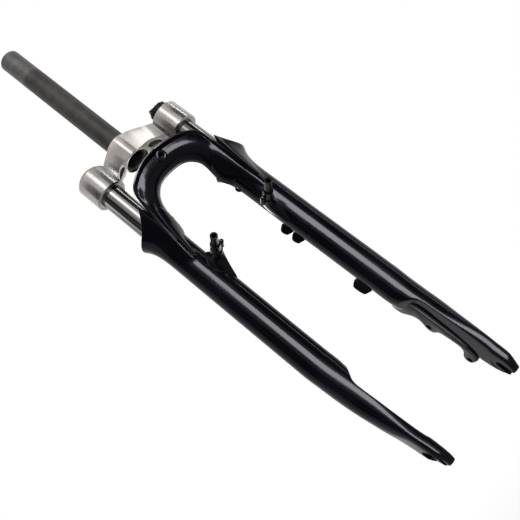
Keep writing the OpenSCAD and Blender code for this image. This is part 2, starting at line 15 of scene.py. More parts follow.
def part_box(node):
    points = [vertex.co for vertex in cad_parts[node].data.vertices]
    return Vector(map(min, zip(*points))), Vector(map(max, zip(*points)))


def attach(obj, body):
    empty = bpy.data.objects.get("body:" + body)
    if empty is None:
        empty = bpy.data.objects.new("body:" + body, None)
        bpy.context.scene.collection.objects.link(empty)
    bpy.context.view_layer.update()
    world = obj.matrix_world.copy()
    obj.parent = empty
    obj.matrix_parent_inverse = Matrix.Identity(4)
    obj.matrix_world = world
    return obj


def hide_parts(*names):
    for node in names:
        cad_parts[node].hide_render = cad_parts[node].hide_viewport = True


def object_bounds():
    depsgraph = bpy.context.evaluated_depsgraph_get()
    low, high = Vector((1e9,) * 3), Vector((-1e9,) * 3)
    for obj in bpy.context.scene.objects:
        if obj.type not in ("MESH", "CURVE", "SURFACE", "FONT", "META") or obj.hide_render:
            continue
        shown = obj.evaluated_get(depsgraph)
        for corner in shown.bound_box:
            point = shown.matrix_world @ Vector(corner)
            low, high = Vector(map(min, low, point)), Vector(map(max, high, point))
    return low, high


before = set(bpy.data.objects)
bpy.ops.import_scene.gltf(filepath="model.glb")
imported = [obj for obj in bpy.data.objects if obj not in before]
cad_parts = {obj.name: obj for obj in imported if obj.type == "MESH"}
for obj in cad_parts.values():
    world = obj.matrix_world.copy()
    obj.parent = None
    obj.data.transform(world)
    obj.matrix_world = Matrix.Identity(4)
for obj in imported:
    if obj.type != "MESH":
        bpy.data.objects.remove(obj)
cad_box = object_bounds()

MM = 0.001

# %% [markdown]
# The skin of the castings has to meet the stanchions, seals and brake posts exactly. So the main
# places are read from the boxes of those solids, in millimetres, and not written down again.

# %% Places taken from the solids


def box_mm(node):
    """Lowest and highest corner of a solid, in millimetres."""
    low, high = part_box(node)
    return np.array(low) / MM, np.array(high) / MM


tube_low, tube_high = box_mm("stanchion_left")
LEG_X, LEG_Y = (tube_low[:2] + tube_high[:2]) / 2
STANCHION_R = (tube_high[0] - tube_low[0]) / 2
seal_low, seal_high = box_mm("dust_seal_left")
SEAL_R = (seal_high[0] - seal_low[0]) / 2
SEAL_SEAT = 6.0
COLLAR_Z = seal_low[2] + SEAL_SEAT
cast_low, cast_high = box_mm("lower_casting")
TOE = 13.0
AXLE_Z = cast_low[2] + TOE
POST_LOW, POST_HIGH = box_mm("brake_post_left")
POST_X, POST_Z = (POST_LOW[0] + POST_HIGH[0]) / 2, (POST_LOW[2] + POST_HIGH[2]) / 2
print(f"leg axis {LEG_X:.1f}, {LEG_Y:.1f}; collar {COLLAR_Z:.1f}; axle {AXLE_Z:.1f}")
print(f"brake post {POST_X:.1f}, {POST_Z:.1f}")

# %% [markdown]
# Sizes of the cast lowers that no box gives. They are those of a fork for a 100 mm hub: the rake of the
# axle, the outside radius of a leg and the flare of the collar.

# %% Driving sizes of the castings
RAKE = 38.5
HUB_X = 50.0
LEG_R = 17.5
COLLAR_R = 24.7
RIM_LIFT, RIM_OUT = 22.6, 13.0
RIDGE_LOW = COLLAR_Z - 57.0
ARCH_RISE = 55.5
ARCH_Z = COLLAR_Z + ARCH_RISE
ARCH_FRONT = 67.0
ARCH_BACK = -ARCH_FRONT + 23.5
ARCH_H = 22.0
BAND_BULGE = 8.2
LIP_T, LIP_REACH = 2.4, 4.0
TAB_T = 8.0

# %% [markdown]
# Many outlines of a casting are read off the photograph as a few heights and widths. A smooth curve
# through them is a cubic between each pair, with the slope at each point taken from its neighbours.

# %% Smooth curve through rows


def through(rows, at):
    """Value at `at` of a smooth cubic curve through rows of (place, value).

    Slope at an inner row = rise between its two neighbours / their distance, and zero at both ends.
    """
    place, value = np.array(rows, float).T
    slope = np.zeros(len(place))
    slope[1:-1] = (value[2:] - value[:-2]) / (place[2:] - place[:-2])
    x = np.clip(at, place[0], place[-1])
    i = np.clip(np.searchsorted(place, x, side="right") - 1, 0, len(place) - 2)
    h = place[i + 1] - place[i]
    t = (x - place[i]) / h
    return (value[i] * (1 + 2 * t) * (1 - t) ** 2 + value[i + 1] * t * t * (3 - 2 * t)
            + h * slope[i] * t * (1 - t) ** 2 - h * slope[i + 1] * t * t * (1 - t))


def ease(t):
    """Soft step: 0 below 0, 1 above 1, and 3t^2 - 2t^3 between."""
    t = np.clip(t, 0, 1)
    return t * t * (3 - 2 * t)


# %% [markdown]
# A casting's skin is a stack of rings. Each ring has the same number of points, so the skin is a
# grid: one way round the leg, the other way up it. Both ends are closed with a fan.

# %% Skin over a stack of rings


def skin(name, rings, closed=True):
    """Mesh over rings[row, around, xyz] in millimetres.

    A quad stands between each four neighbours, and a fan closes each end.
    """
    rings = np.asarray(rings, float)
    rows, around = rings.shape[:2]
    points = rings.reshape(-1, 3)
    k, i = np.meshgrid(np.arange(rows - 1), np.arange(around), indexing="ij")
    a, b = k * around + i, k * around + (i + 1) % around
    faces = np.stack([a, b, b + around, a + around], axis=-1).reshape(-1, 4).tolist()
    if closed:
        count = len(points)
        points = np.vstack([points, rings[0].mean(0), rings[-1].mean(0)])
        i = np.arange(around)
        j = (i + 1) % around
        top = (rows - 1) * around
        faces += np.stack([np.full(around, count), j, i], 1).tolist()
        faces += np.stack([np.full(around, count + 1), top + i, top + j], 1).tolist()
    mesh = bpy.data.meshes.new(name)
    mesh.from_pydata((points * MM).tolist(), [], faces)
    mesh.validate()
    mesh.update()
    piece = bpy.data.objects.new(name, mesh)
    bpy.context.scene.collection.objects.link(piece)
    return piece


def mirrored(rings):
    """The same rings on the other side, each taken the other way round so that faces point out."""
    return rings[:, ::-1] * np.array([-1.0, 1.0, 1.0])


# %% [markdown]
# ## A leg
# Below the collar a leg is a tube that swings forward to the axle and thins to a flat blade. Front,
# back, outer and inner edge are four smooth curves, and an ellipse between them, cut flat on the
# hub's side, is the section. A sweep along a path could do this too, but the four curves are what
# the photograph shows.

# %% Outline of a leg by height above the axle
FRONT_ROWS = [(-13, RAKE + 11), (-9, RAKE + 13), (-3, RAKE + 15), (3, RAKE + 15.6), (20, RAKE + 14.2),
              (37, RAKE + 12.3), (57, RAKE + 9.3), (77, RAKE + 6.8), (97, RAKE + 4.2),
              (117, LEG_R - LEG_Y + 0.5), (137, LEG_R - LEG_Y)]
BACK_ROWS = [(-13, RAKE - 6.6), (-5, RAKE - 12), (3, RAKE - 16), (20, RAKE - 19.5), (37, RAKE - 21.8),
             (57, RAKE - 25), (77, RAKE - 28.8), (97, RAKE - 33),
             (117, -LEG_Y - LEG_R + 1), (137, -LEG_Y - LEG_R)]
OUTER_ROWS = [(-13, HUB_X + 9.6), (3, HUB_X + 14.6), (20, HUB_X + 16.4), (37, HUB_X + 17.8),
              (57, HUB_X + 20.2), (77, HUB_X + 22.5), (97, LEG_X + LEG_R - 1.8),
              (117, LEG_X + LEG_R - 0.9), (137, LEG_X + LEG_R)]
INNER_ROWS = [(-13, HUB_X), (13, HUB_X), (14, HUB_X), (20, HUB_X + 1.2), (37, HUB_X + 2.2),
              (71, HUB_X + 3.1), (92, HUB_X + 3.3), (99, HUB_X + 1.5), (106, HUB_X - 4),
              (113, LEG_X - LEG_R + 0.5), (137, LEG_X - LEG_R)]
OUTER_FLAT_ROWS = [(-13, HUB_X + 9.2), (0, HUB_X + 12), (30, HUB_X + 15), (60, HUB_X + 25), (137, HUB_X + 30)]
BLADE_END, TUBE_START = 25, 85


def larger(first, second, width):
    """Larger of two values, with a rounded corner where they cross.

    Half of: the sum, plus the root of (difference squared + width squared), less about a third of the width.
    """
    return (first + second + np.sqrt((first - second) ** 2 + width**2) - width * 0.35) / 2


def blade(height, around):
    """Level sections of a leg, height above the axle.

    x = centre + radius towards that side * cos(angle), kept between the hub face and the outer flat;
    y = middle of front and back + half their distance * sin(angle). The centre lies midway in the flat
    blade and a radius inside the outer edge in the round tube, and moves softly from one to the other.
    """
    h, a = np.meshgrid(height, np.arange(around) * 2 * np.pi / around, indexing="ij")
    front, back = -through(FRONT_ROWS, h), -through(BACK_ROWS, h)
    outer, inner = through(OUTER_ROWS, h), through(INNER_ROWS, h)
    half = (back - front) / 2
    round_up = ease((h - BLADE_END) / (TUBE_START - BLADE_END))
    centre = (outer - np.minimum(half, LEG_R)) * round_up + (outer + inner) / 2 * (1 - round_up)
    inward = np.maximum(centre - inner, half / 1.1)
    x = centre + np.where(np.cos(a) > 0, outer - centre, inward) * np.cos(a)
    x = larger(x, inner, 1.5)
    x = -larger(-x, -through(OUTER_FLAT_ROWS, h), 2.0)
    return np.stack([x, (front + back) / 2 + half * np.sin(a), AXLE_Z + h], axis=-1)


# %% [markdown]
# The collar flares at the top of each leg and rises in front to meet the arch. Its rim is highest
# straight ahead and falls away quickly inboard, more slowly outboard.

# %% The flared collar


def from_front(around):
    """Angle of each point from straight ahead, positive outboard, in degrees."""
    a = np.arange(around) * 360 / around + 90
    return np.where(a > 180, a - 360, a)


def rim_height(p):
    """Lift of the rim: an exponential fall on both sides of the front."""
    return RIM_LIFT * np.exp(np.where(p >= 0, -p / 22, p / 11))


def rim_radius(p):
    """Radius of the rim: the plain collar plus an exponential bulge in front."""
    return COLLAR_R + RIM_OUT * np.exp(-np.abs(p) / np.where(p >= 0, 25, 10))


def round_leg(radius, height, p):
    """Points at a radius and a height round a leg's axis, p degrees from straight ahead."""
    turn = np.radians(p)
    x, y = LEG_X + radius * np.sin(turn), LEG_Y - radius * np.cos(turn)
    return np.stack(np.broadcast_arrays(x, y, height), axis=-1)


def collar(share, around):
    """Rings from the collar's foot (share 0) to its rim (share 1).

    The radius grows as share to a power, early in front and late at the back, and the height in step.
    """
    u, p = np.meshgrid(share, from_front(around), indexing="ij")
    w = ease(np.abs(p) / 70)
    radius = LEG_R + (rim_radius(p) - LEG_R) * u ** (0.75 * (1 - w) + 5 * w)
    return round_leg(radius, RIDGE_LOW + (COLLAR_Z + rim_height(p) - RIDGE_LOW) * u, p)


def leg_rings(around=144):
    """A whole leg: blade, straight tube, flared collar, rounded rim, and the seat of the seal inside."""
    p = from_front(around)
    low = blade(np.concatenate([np.linspace(-TOE, 20, 34), np.linspace(21.5, 137, 78)]), around)
    toe_middle = low[0, :, :2].mean(0)
    low[0, :, :2] = toe_middle + (low[0, :, :2] - toe_middle) * 0.9
    flare = collar(1 - (1 - np.linspace(0, 1, 60)) ** 1.3, around)
    rim = flare[-1]
    edge = round_leg(rim_radius(p) - 0.7, COLLAR_Z + rim_height(p) + 0.5, p)
    inside = round_leg(rim_radius(p) - 1.6, COLLAR_Z + rim_height(p) + 0.1, p)
    floor = round_leg(np.full(around, SEAL_R + 1.2), np.full(around, COLLAR_Z + 0.9), p)
    slope = [inside + (floor - inside) * t for t in np.linspace(0, 1, 14)]
    seat = [round_leg(np.full(around, SEAL_R + 0.1), np.full(around, z), p)
            for z in (COLLAR_Z + 0.4, COLLAR_Z - SEAL_SEAT)]
    flare[-1] = rim - (rim - flare[-2]) * 0.35
    return np.concatenate([low, flare, [edge], slope, seat])


leg_grid = leg_rings()
leg_left = skin("leg_left", leg_grid)
leg_right = skin("leg_right", mirrored(leg_grid))
print("leg grid:", leg_grid.shape)

# %% [markdown]
# ## The arch
# The arch joins the two legs in front of the tyre. Its section has three corners: the thin front
# lip, the lower back edge along the opening, and the upper back edge. Behind the lip runs a groove,
# then a rounded band. Thirteen stations from the middle to the root carry the three corners.

# %% Stations of the arch


def lip_at(x, back, down):
    """Front lip, set back and down from the middle of the arch."""
    return [x, -ARCH_FRONT + back, ARCH_Z - down]


def under_at(x, ahead, down):
    """Lower back edge, along the opening over the tyre."""
    return [x, ARCH_BACK + ahead, ARCH_Z - ARCH_H - down]


def behind_at(x, ahead, down):
    """Upper back edge."""
    return [x, ARCH_BACK + ahead, ARCH_Z - down]


STATIONS = np.array([
    [lip_at(0, 0, 0), under_at(0, 1.2, 0), behind_at(0, 0, 4)],
    [lip_at(13, -0.6, 1.3), under_at(11.5, 0.8, 1), behind_at(12.3, 0, 5.6)],
    [lip_at(25, -1.2, 4.8), under_at(20.5, 1.4, 4.2), behind_at(23, 0, 9.4)],
    [lip_at(35, -1.2, 9.2), under_at(27.2, 3.8, 9.4), behind_at(31, 0.5, 15)],
    [lip_at(43.5, 0.6, 13.9), under_at(31, 6.4, 14.6), behind_at(36.6, 1, 22)],
    [lip_at(48.8, 3.4, 18.4), under_at(32.8, 10.4, 20), behind_at(39.4, 1.8, 30)],
    [lip_at(51.8, 6.4, 25), under_at(33.4, 15.4, 27), behind_at(41.2, 3.6, 38)],
    [lip_at(53.5, 8.8, 34), under_at(33.6, 19.4, 34), behind_at(43, 6.5, 46)],
    [lip_at(55.1, 11.2, 45), under_at(34.8, 21.2, 43), behind_at(45.4, 9.5, 56)],
    [lip_at(57, 14.8, 59), under_at(38, 20, 52), behind_at(48.4, 11.5, 68)],
    [lip_at(58.6, 18.2, 79), under_at(45, 16, 64), behind_at(52, 14, 84)],
    [lip_at(59.4, 23.5, 104), under_at(51, 11.5, 84), behind_at(55, 15, 108)],
    [lip_at(59.8, 33, 124), under_at(51, 15, 99), behind_at(58, 21, 120)],
])
BAND_ROWS = [(0, 0.2), (0.07, 0.5), (0.16, 0.77), (0.28, 0.94), (0.41, 1),
             (0.55, 0.96), (0.68, 0.81), (0.8, 0.57), (0.9, 0.31), (1, -0.05)]
BAND_POINTS = 34

# %% [markdown]
# One section is built in its own flat plane, which the three corners give: along the way from the lip to
# the lower back edge, and out of it, away from the upper back edge. A bulge from a sine gives the rear
# and the top their shallow bows.

# %% Section of the arch, and the sweep


def section(lip, low, back, swell):
    """One closed section of the arch.

    In the plane of its three corners: the lip's blunt edge, the groove behind it, the band as a smooth
    bulge towards the lower back edge, then shallow bows up the back and forward along the top.
    """
    reach = np.linalg.norm(low - lip)
    along = (low - lip) / reach
    from_lip = back - lip
    back_a = from_lip @ along
    inward = from_lip - along * back_a
    back_o = np.linalg.norm(inward)
    out = -inward / back_o
    q = min(1.0, reach / 30)
    ahead = np.array([back_a, -back_o]) / math.hypot(back_a, back_o)
    below = np.array([-ahead[1], ahead[0]])
    tip = below * LIP_T * q
    groove = tip + ahead * LIP_REACH * q
    upper = [ahead * 0.25 * q, below * 0.35 * q - ahead * 0.3 * q, tip * 0.5 - ahead * 0.5 * q]
    lower = [tip - below * 0.35 * q - ahead * 0.3 * q, tip + ahead * 0.3 * q, tip + ahead * 1.6 * q]
    edge = np.array([*upper, *lower, groove, groove + ahead * 0.5 * q + below * 0.25 * q])
    start = groove[0] + 0.9 * q
    share = np.linspace(0, 1, BAND_POINTS)
    band = np.stack([start + (reach - start) * share, BAND_BULGE * swell * through(BAND_ROWS, share)], axis=1)
    flat = np.vstack([edge, band])
    front = lip + flat[:, :1] * along + flat[:, 1:] * out
    t = np.linspace(0, 1, 10)[1:, None]
    rear = low * (1 - t) + back * t + (along * 0.8 - out * 1.2) * np.sin(np.pi * t)
    t = np.linspace(0, 1, 16)[1:-1, None]
    top = back * (1 - t) + lip * t - out * 1.6 * np.sin(np.pi * t)
    return np.vstack([front, rear, top])


def arch_rings(rows=260):
    """Sections from one root over the middle to the other.

    Each coordinate of each corner moves on a smooth curve through the stations, and the band's swell
    falls to under half of its full size towards the roots.
    """
    last = len(STATIONS) - 1
    place = np.linspace(-last, last, rows)
    index = np.arange(last + 1)
    tracks = [[through(np.stack([index, STATIONS[:, j, c]], 1), np.abs(place)) for c in range(3)]
              for j in range(3)]
    lips, unders, backs = (np.stack(track, axis=-1) for track in tracks)
    swells = 1 - 0.55 * ease((np.abs(place) - 4) / 5)
    rings = np.array([section(*row) for row in zip(lips, unders, backs, swells)])
    return rings * np.stack([np.where(place < 0, -1.0, 1.0), np.ones(rows), np.ones(rows)], 1)[:, None]


arch_grid = arch_rings()
arch = skin("arch", arch_grid)
print("arch grid:", arch_grid.shape)

# %% [markdown]
# ## Small features of the casting
# The brake posts stand on cast feet, a finger beside each post anchors the brake's return spring,
# and the left leg carries hose guides and the disc tab. Feet are short stacks of ellipses. Plates are
# outlines given a thickness and a bevel, as a foundry pattern has.

# %% Foot of a brake post
POST_BASE = 54.0
POST_TIP = 86.5
FOOT_X, FOOT_Z = 6.5, 7.0
FINGER_R, FINGER_AWAY, FINGER_SHORT = 2.6, 8.0, 22.5


def foot_rings(around=48):
    """Ellipses from the leg out to the shoulder, the reach shrinking with the square of the distance left."""
    t, a = np.meshgrid(np.linspace(0, 1, 24), np.arange(around) * 2 * np.pi / around, indexing="ij")
    foot = (1 - t) ** 2
    x = POST_X + 5.5 * foot + (FOOT_X + 1.5 * foot) * np.cos(a)
    y = LEG_Y - 8 - (POST_BASE + LEG_Y - 8) * t
    z = POST_Z - 7 * foot + (FOOT_Z + 17 * foot) * np.sin(a)
    return np.stack([x, y, z], axis=-1)


def finger_rings(around=28):
    """A round finger beside the post, with a domed end.

    Over the last stretch, one radius long, the size is the root of (radius squared - distance squared).
    """
    dome = -(POST_TIP - FINGER_SHORT) + FINGER_R
    tip = dome - FINGER_R * np.sin(np.linspace(0.1, np.pi / 2, 9))
    along = np.concatenate([np.linspace(-POST_BASE + 3, dome, 6), tip])
    size = np.sqrt(np.maximum(FINGER_R**2 - np.minimum(along - dome, 0) ** 2, 0.01))[:, None]
    y, a = np.meshgrid(along, np.arange(around) * 2 * np.pi / around, indexing="ij")
    return np.stack([POST_X - FINGER_AWAY + size * np.cos(a), y, POST_Z + size * np.sin(a)], axis=-1)


feet = []
for name, rings in (("foot", foot_rings()), ("finger", finger_rings())):
    feet.append(skin(f"{name}_left", rings))
    feet.append(skin(f"{name}_right", mirrored(rings)))

# %% [markdown]
# A plate is a flat outline pushed through its thickness. The outline's corners are rounded first by
# cutting each corner again and again, which turns a polygon into a smooth curve.

# %% Plates


def rounded(outline, times=3):
    """Corner cutting: each edge is replaced by its points at one quarter and three quarters."""
    points = np.array(outline, float)
    for _ in range(times):
        after = np.roll(points, -1, axis=0)
        pairs = np.stack([points * 0.75 + after * 0.25, points * 0.25 + after * 0.75], axis=1)
        points = pairs.reshape(-1, 2)
    return points


def placed(points, place):
    """Points turned and moved by a matrix."""
    return points @ np.array(place.to_3x3()).T + np.array(place.translation)


def plate(name, outline, thickness, place, bevel=0.7):
    """Outline pushed through a thickness and placed by a matrix in millimetres, its rims bevelled.

    Twice the outline's area is the sum of x * next y - next x * y. Where it is negative, the outline
    runs clockwise and is taken the other way round, so that the faces point out.
    """
    outline = np.array(outline)
    after = np.roll(outline, -1, axis=0)
    area = np.sum(outline[:, 0] * after[:, 1] - after[:, 0] * outline[:, 1])
    outline = outline if area > 0 else outline[::-1]
    count = len(outline)
    near = np.column_stack([outline, np.zeros(count)])
    points = placed(np.vstack([near, near + [0, 0, thickness]]), place) * MM
    i = np.arange(count)
    j = (i + 1) % count
    sides = np.stack([i, j, j + count, i + count], 1).tolist()
    mesh = bpy.data.meshes.new(name)
    mesh.from_pydata(points.tolist(), [], [i[::-1].tolist(), (i + count).tolist(), *sides])
    mesh.update()
    piece = bpy.data.objects.new(name, mesh)
    bpy.context.scene.collection.objects.link(piece)
    soften = piece.modifiers.new("rims", "BEVEL")
    soften.width = bevel * MM
    soften.segments = 3
    soften.limit_method = "ANGLE"
    soften.angle_limit = math.radians(50)
    return piece


# %% [markdown]
# The **disc tab** has two ears with a hollow between them and a long tail up the leg. Its outline is
# given as (back from the axle, up from the axle). The **hose guides** are three small ears behind the
# leg, turned a little inboard, that hold the brake hose.

# %% The disc tab and the hose guides
TAB_OUTLINE = [(44.5, 117), (45.5, 104), (40, 98), (33.9, 93), (30.8, 88), (30.1, 82.5), (32.5, 78),
               (35, 74.5), (36.2, 71), (35.6, 66.5), (32, 63.4), (26, 61.6), (23.5, 56), (22.5, 48),
               (21.3, 39), (23, 34), (27, 30.8), (34.5, 28.6), (38.5, 25.6), (39.9, 22), (38.8, 18.6),
               (35.5, 16.4), (17.5, 15), (12, 30), (12, 110), (20, 125)]
tab_place = Matrix(((0, 0, 1, HUB_X), (1, 0, 0, -RAKE), (0, 1, 0, AXLE_Z), (0, 0, 0, 1)))
tab = plate("disc_tab", rounded(TAB_OUTLINE, 2), TAB_T, tab_place)


def guide_outline(length, reach):
    """Side view of a hose guide: [out from the leg, along the leg]."""
    half = length / 2
    return [(0, -half - 3), (reach - 1, -half + 0.6), (reach + 1.2, -half + 3),
            (reach + 2, half - 4), (reach, half - 1), (0, half + 2)]


GUIDE_TURN, GUIDE_T, GUIDE_ROOT = math.radians(140), 6.0, 2.0
GUIDES = ((-227.5, 13, 9.5), (-243.5, 13, 9.5), (-331, 19, 10))
out_x, out_y = math.cos(GUIDE_TURN), math.sin(GUIDE_TURN)
root = LEG_R - GUIDE_ROOT
corner_x = LEG_X + root * out_x + GUIDE_T / 2 * out_y
corner_y = LEG_Y + root * out_y - GUIDE_T / 2 * out_x
guides = []
for number, (z, length, reach) in enumerate(GUIDES, 1):
    place = Matrix(((out_x, 0, -out_y, corner_x), (out_y, 0, out_x, corner_y), (0, 1, 0, z), (0, 0, 0, 1)))
    outline = rounded(guide_outline(length, reach), 2)
    guides.append(plate(f"hose_guide_{number}", outline, GUIDE_T, place, 1.1))
print("tab and guides:", 1 + len(guides))

# %% [markdown]
# The ring in the middle of the arch takes a mudguard's bolt. It is a turned shape: a profile carried
# round an axis that points forward and down.

# %% Ring round the mudguard hole
BOSS_R, HOLE_R = 6.2, 2.75
BOSS_FACE = Vector((0, -ARCH_FRONT + 0.6, ARCH_Z - 12.5))
BOSS_TILT = math.radians(120)


def turned(profile, place, around=64):
    """Profile of (radius, height) carried round the height axis and placed by a matrix in millimetres."""
    profile = np.array(profile, float)
    a = np.arange(around) * 2 * np.pi / around
    radius, height = profile[:, :1], np.repeat(profile[:, 1:], around, 1)
    return placed(np.stack([radius * np.cos(a), radius * np.sin(a), height], axis=-1), place)


boss_place = Matrix.Translation(BOSS_FACE) @ Matrix.Rotation(BOSS_TILT, 4, "X")
boss_profile = [(BOSS_R, -12), (BOSS_R, -0.8), (BOSS_R - 0.3, -0.25), (BOSS_R - 0.9, 0),
                (HOLE_R + 0.8, 0), (HOLE_R + 0.2, -0.3), (HOLE_R, -0.9), (HOLE_R, -11)]
boss = skin("guard_ring", turned(boss_profile, boss_place))

# %% [markdown]
# A small egg-shaped nub stands on the inner side of the left leg, below the collar, where the mould was
# filled. It is a turned half ellipse.

# %% Nub inside the left leg
NUB_R, NUB_HALF, NUB_DOWN = 3.4, 4.5, 27.0
nub_middle = Vector((LEG_X - LEG_R + 0.5, LEG_Y + 2, COLLAR_Z - NUB_DOWN))
nub_place = Matrix.Translation(nub_middle) @ Matrix.Rotation(math.radians(-25), 4, "Y")
nub_turn = np.linspace(0.02, np.pi - 0.02, 18)
nub_profile = np.stack([NUB_R * np.sin(nub_turn), -NUB_HALF * np.cos(nub_turn)], 1)
nub = skin("nub", turned(nub_profile, nub_place, 32))

# %% [markdown]
# ## Cuts
# The axle's slot, the recess for its nut and the shallow ring pressed by the locknut are cut from the
# blades, and the bolt holes from the tab and the arch. Boolean modifiers do it. Each is applied at once,
# so that what is kept is a plain mesh.

# %% Cutters and the cut


def slot_cutter(name, radius, x_low, x_high, drop=30.0, around=48):
    """A slot open downwards: half a circle over a straight sided channel, pushed from x_low to x_high."""
    a = np.linspace(0, np.pi, around)
    y = -RAKE + np.append(radius * np.cos(a), [-radius, radius])
    z = AXLE_Z + np.append(radius * np.sin(a), [-drop, -drop])
    return skin(name, [np.column_stack([np.full(len(y), x), y, z]) for x in (x_low, x_high)])


def round_cutter(name, radius, place, low, high):
    """A plain round pin used as a drill."""
    return skin(name, turned([(radius, low), (radius, high)], place))


def cut(piece, cutters):
    """Takes each cutter out of the piece in turn and keeps the result as its mesh, without the cutters."""
    for cutter in cutters:
        step = piece.modifiers.new("cut", "BOOLEAN")
        step.operation = "DIFFERENCE"
        step.solver = "EXACT"
        step.object = cutter
        bpy.context.view_layer.update()
        graph = bpy.context.evaluated_depsgraph_get()
        shaped = bpy.data.meshes.new_from_object(piece.evaluated_get(graph))
        piece.modifiers.clear()
        piece.data = shaped
        bpy.data.objects.remove(cutter)
    print(piece.name, "cut:", len(piece.data.polygons), "faces")


# %% [markdown]
# The recess for the nut goes first, then the pressed ring, and the slot last. Each cutter starts and ends
# clear of the others' faces, because a boolean goes wrong where two flat faces lie in one plane.

# %% Cuts in the blades
SLOT_R, PRESSED_R, NUT_R, NUT_FACE = 4.5, 9.5, 11.0, 8.0
QUARTER = Matrix.Rotation(math.radians(90), 4, "Y")


def span(side, low, high):
    """Range of x between two distances from the hub's face, on one side of the wheel."""
    return sorted((side * (HUB_X + low), side * (HUB_X + high)))


along_x = Matrix.Translation(Vector((0, -RAKE, AXLE_Z))) @ QUARTER
for side, leg in ((1, leg_left), (-1, leg_right)):
    recess = slot_cutter("nut_recess", NUT_R, *span(side, NUT_FACE, 29), 28.0, 61)
    ring = round_cutter("pressed_ring", PRESSED_R, along_x, *span(side, -4, 0.6))
    cut(leg, [recess, ring, slot_cutter("slot", SLOT_R, *span(side, -6, 31))])

# %% [markdown]
# The bolts of a disc brake stand 51 mm apart. The line between them leans a little, as the tab does.

# %% Holes in the tab and the arch
DISC_MID = (31.3, 46.5)
DISC_TILT = math.radians(-4.3)
DISC_HALF, DISC_HOLE_R = 25.5, 3.2
drills = []
for end in (-1, 1):
    across = DISC_MID[0] + end * DISC_HALF * math.sin(DISC_TILT)
    up = DISC_MID[1] + end * DISC_HALF * math.cos(DISC_TILT)
    hole = Matrix.Translation(Vector((0, -RAKE + across, AXLE_Z + up))) @ QUARTER
    drills.append(round_cutter(f"disc_hole_{end}", DISC_HOLE_R, hole, *span(1, -10, 20)))
cut(tab, drills)
cut(arch, [round_cutter("guard_hole", HOLE_R, boss_place, -40, 10)])

# %% [markdown]
# The parts of the casting become one piece, since the real one is a single pour. Faces meet smoothly
# up to an angle of 38 degrees; sharper edges stay crisp.

# %% One casting
SMOOTH_ANGLE = math.radians(38)


def shade(piece, angle=SMOOTH_ANGLE):
    """Smooth shading with crisp edges where faces meet at more than the angle."""
    mesh = piece.data
    mesh.polygons.foreach_set("use_smooth", np.ones(len(mesh.polygons), bool))
    mesh.set_sharp_from_angle(angle=angle)
    mesh.update()


def joined(name, parts):
    """One object from several, modifiers included."""
    graph = bpy.context.evaluated_depsgraph_get()
    for part in parts:
        mesh = bpy.data.meshes.new_from_object(part.evaluated_get(graph))
        part.modifiers.clear()
        part.data = mesh
        shade(part)
    chosen = {"active_object": parts[0], "selected_objects": parts, "selected_editable_objects": parts}
    with bpy.context.temp_override(**chosen):
        bpy.ops.object.join()
    parts[0].name = name
    parts[0].data.name = name
    return parts[0]


casting = joined("cast_lowers", [leg_left, leg_right, arch, *feet, tab, *guides, boss, nub])
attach(casting, "lowers")
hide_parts("lower_casting")
print("casting:", sum(len(face.vertices) - 2 for face in casting.data.polygons), "triangles")

# %% [markdown]
# ## Softened edges
# The crown, the caps and the knob are right as solids, but a real edge is never perfectly sharp and
# catches light. So a merged copy of each gets a narrow bevel and stands for the solid.

# %% Bevelled copies


def softened(node, name, body, width):
    """A copy of a solid with its doubles merged and a narrow bevel on its sharp edges."""
    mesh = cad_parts[node].data.copy()
    mesh.materials.clear()
    piece = bpy.data.objects.new(name, mesh)
    bpy.context.scene.collection.objects.link(piece)
    weld = piece.modifiers.new("weld", "WELD")
    weld.merge_threshold = 0.01 * MM
    flat = piece.modifiers.new("flats", "DECIMATE")
    flat.decimate_type = "DISSOLVE"
    flat.angle_limit = math.radians(0.5)
    bevel = piece.modifiers.new("bevel", "BEVEL")
    bevel.width = width * MM
    bevel.segments = 3
    bevel.limit_method = "ANGLE"
    bevel.angle_limit = math.radians(32)
    graph = bpy.context.evaluated_depsgraph_get()
    kept = bpy.data.meshes.new_from_object(piece.evaluated_get(graph))
    piece.modifiers.clear()
    piece.data = kept
    shade(piece, math.radians(40))
    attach(piece, body)
    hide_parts(node)
    print(name, len(kept.polygons), "faces")
    return piece


crown = softened("crown", "satin_crown", "upper", 1.1)
cap_left = softened("top_cap_left", "cap_under_knob", "upper", 0.5)
cap_right = softened("top_cap_right", "domed_cap", "upper", 0.5)
knob = softened("preload_knob", "winged_knob", "knob", 0.6)

# %% [markdown]
# ## Finishes
# Shader maths reads best as arithmetic. The class below wraps a socket, so that 1 - mask * 0.5 adds
# the Math nodes by itself. All patterns read Object coordinates, in metres, so they stay put when a
# piece moves.

# %% Arithmetic on shader sockets


class Wave:
    """A value that varies over a surface. Arithmetic on it adds Math nodes."""

    def __init__(self, finish, socket):
        self.finish, self.socket = finish, socket

    def _with(self, operation, first, second):
        return self.finish.make("ShaderNodeMath", {"operation": operation}, {0: first, 1: second})

    def __add__(self, other):
        return self._with("ADD", self, other)

    def __sub__(self, other):
        return self._with("SUBTRACT", self, other)

    def __rsub__(self, other):
        return self._with("SUBTRACT", other, self)

    def __mul__(self, other):
        return self._with("MULTIPLY", self, other)

    def __truediv__(self, other):
        return self._with("DIVIDE", self, other)

    def __rtruediv__(self, other):
        return self._with("DIVIDE", other, self)

    def __pow__(self, other):
        return self._with("POWER", self, other)

    __radd__ = __add__
    __rmul__ = __mul__

    def step(self, low, high, to_low=0.0, to_high=1.0):
        """Soft step from to_low at low to to_high at high."""
        settings = {"interpolation_type": "SMOOTHSTEP"}
        values = {0: self, 1: low, 2: high, 3: to_low, 4: to_high}
        return self.finish.make("ShaderNodeMapRange", settings, values)


